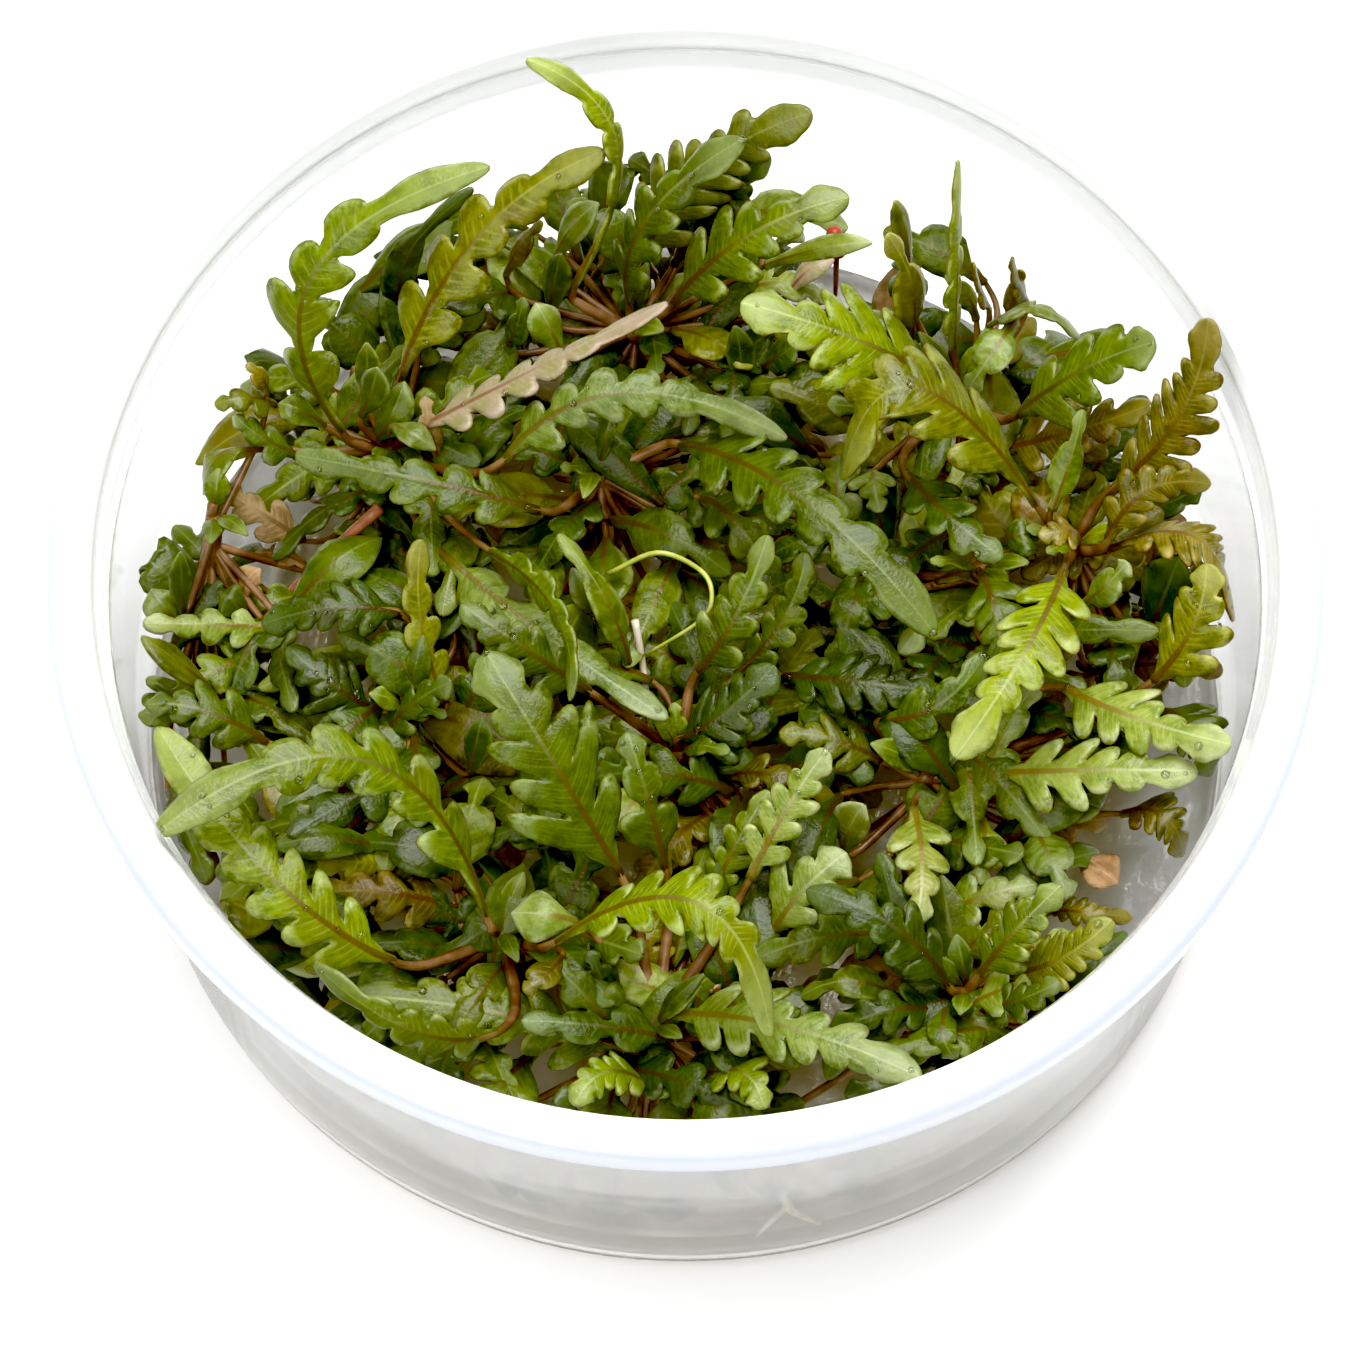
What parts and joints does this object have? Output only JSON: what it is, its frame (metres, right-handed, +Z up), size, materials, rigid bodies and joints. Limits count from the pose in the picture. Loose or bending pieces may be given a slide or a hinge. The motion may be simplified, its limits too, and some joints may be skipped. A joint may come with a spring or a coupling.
{
  "type": "Hygrophila pinnatifida, tissue-culture plants in their cup",
  "caption": "Young pinnate-leaved water plants growing from agar gel in a round clear culture cup with a flared rim.",
  "frame": {"origin": "centre of the cup's flat foot, on the surface it stands on", "axes": "+Z up out of the cup's mouth, +X to the right and +Y away from the viewer as pictured"},
  "size_m": [0.1, 0.1, 0.0485],
  "materials": {
    "clear_plastic": "clear, slightly milky, gloss",
    "agar_gel": "wet, translucent",
    "stem": "semi-gloss",
    "leaf_young": "semi-gloss, fine veins",
    "leaf_green": "semi-gloss, fine veins",
    "leaf_deep": "semi-gloss, fine veins",
    "leaf_olive": "semi-gloss, fine veins",
    "leaf_bronze": "semi-gloss, fine veins",
    "leaf_pale": "semi-gloss, fine veins",
    "leaf_underside": "semi-gloss, fine veins"
  },
  "bodies": {
    "root": {"cup": "clear_plastic", "gel": "agar_gel", "back_left_shoot": "stem", "back_shoot": "stem", "back_right_shoot": "stem", "right_shoot": "stem", "middle_right_shoot": "stem", "middle_shoot": "stem", "middle_left_shoot": "stem", "front_left_shoot": "stem", "front_shoot": "stem", "front_right_shoot": "stem", "right_front_shoot": "stem", "left_edge_shoot": "stem", "upper_middle_shoot": "stem", "leaf_back_left_tall": "leaf_young", "leaf_back_left_broad": "leaf_olive", "leaf_back_twisted": "leaf_young", "leaf_back_left_pink": "leaf_underside", "leaf_middle_back_pale": "leaf_pale", "leaf_middle_left_back": "leaf_green", "leaf_back_rear": "leaf_olive", "leaf_back_front": "leaf_green", "leaf_back_right_lobed": "leaf_green", "leaf_back_right_reach": "leaf_young", "leaf_right_arching": "leaf_olive", "leaf_back_right_spire": "leaf_young", "leaf_back_right_fan": "leaf_young", "leaf_right_bronze_low": "leaf_bronze", "leaf_right_bronze_tall": "leaf_bronze", "leaf_right_bronze_narrow": "leaf_bronze", "leaf_right_bronze_arching": "leaf_bronze", "leaf_right_front_young": "leaf_young", "leaf_middle_right_dark": "leaf_deep", "leaf_middle_long": "leaf_green", "leaf_middle_low_right": "leaf_deep", "leaf_right_front_dark": "leaf_deep", "leaf_right_edge_broad": "leaf_olive", "leaf_right_edge_pale": "leaf_pale", "leaf_right_front_pale": "leaf_pale", "leaf_middle_bright": "leaf_green", "leaf_middle_left_short": "leaf_green", "leaf_middle_upright": "leaf_green", "leaf_middle_left_pale": "leaf_pale", "leaf_middle_fork": "leaf_green", "leaf_middle_olive": "leaf_deep", "leaf_front_tipped": "leaf_pale", "leaf_left_glossy": "leaf_deep", "leaf_left_lobed": "leaf_deep", "leaf_left_edge": "leaf_green", "leaf_front_left_arching": "leaf_young", "leaf_front_left_rim": "leaf_young", "leaf_front_left_low": "leaf_green", "leaf_front_rim": "leaf_young", "leaf_front_arching": "leaf_young", "leaf_front_right_low": "leaf_pale", "leaf_front_right_grey": "leaf_deep", "leaf_front_right_green": "leaf_green", "leaf_front_right_feather": "leaf_olive"}
  },
  "joints": []
}
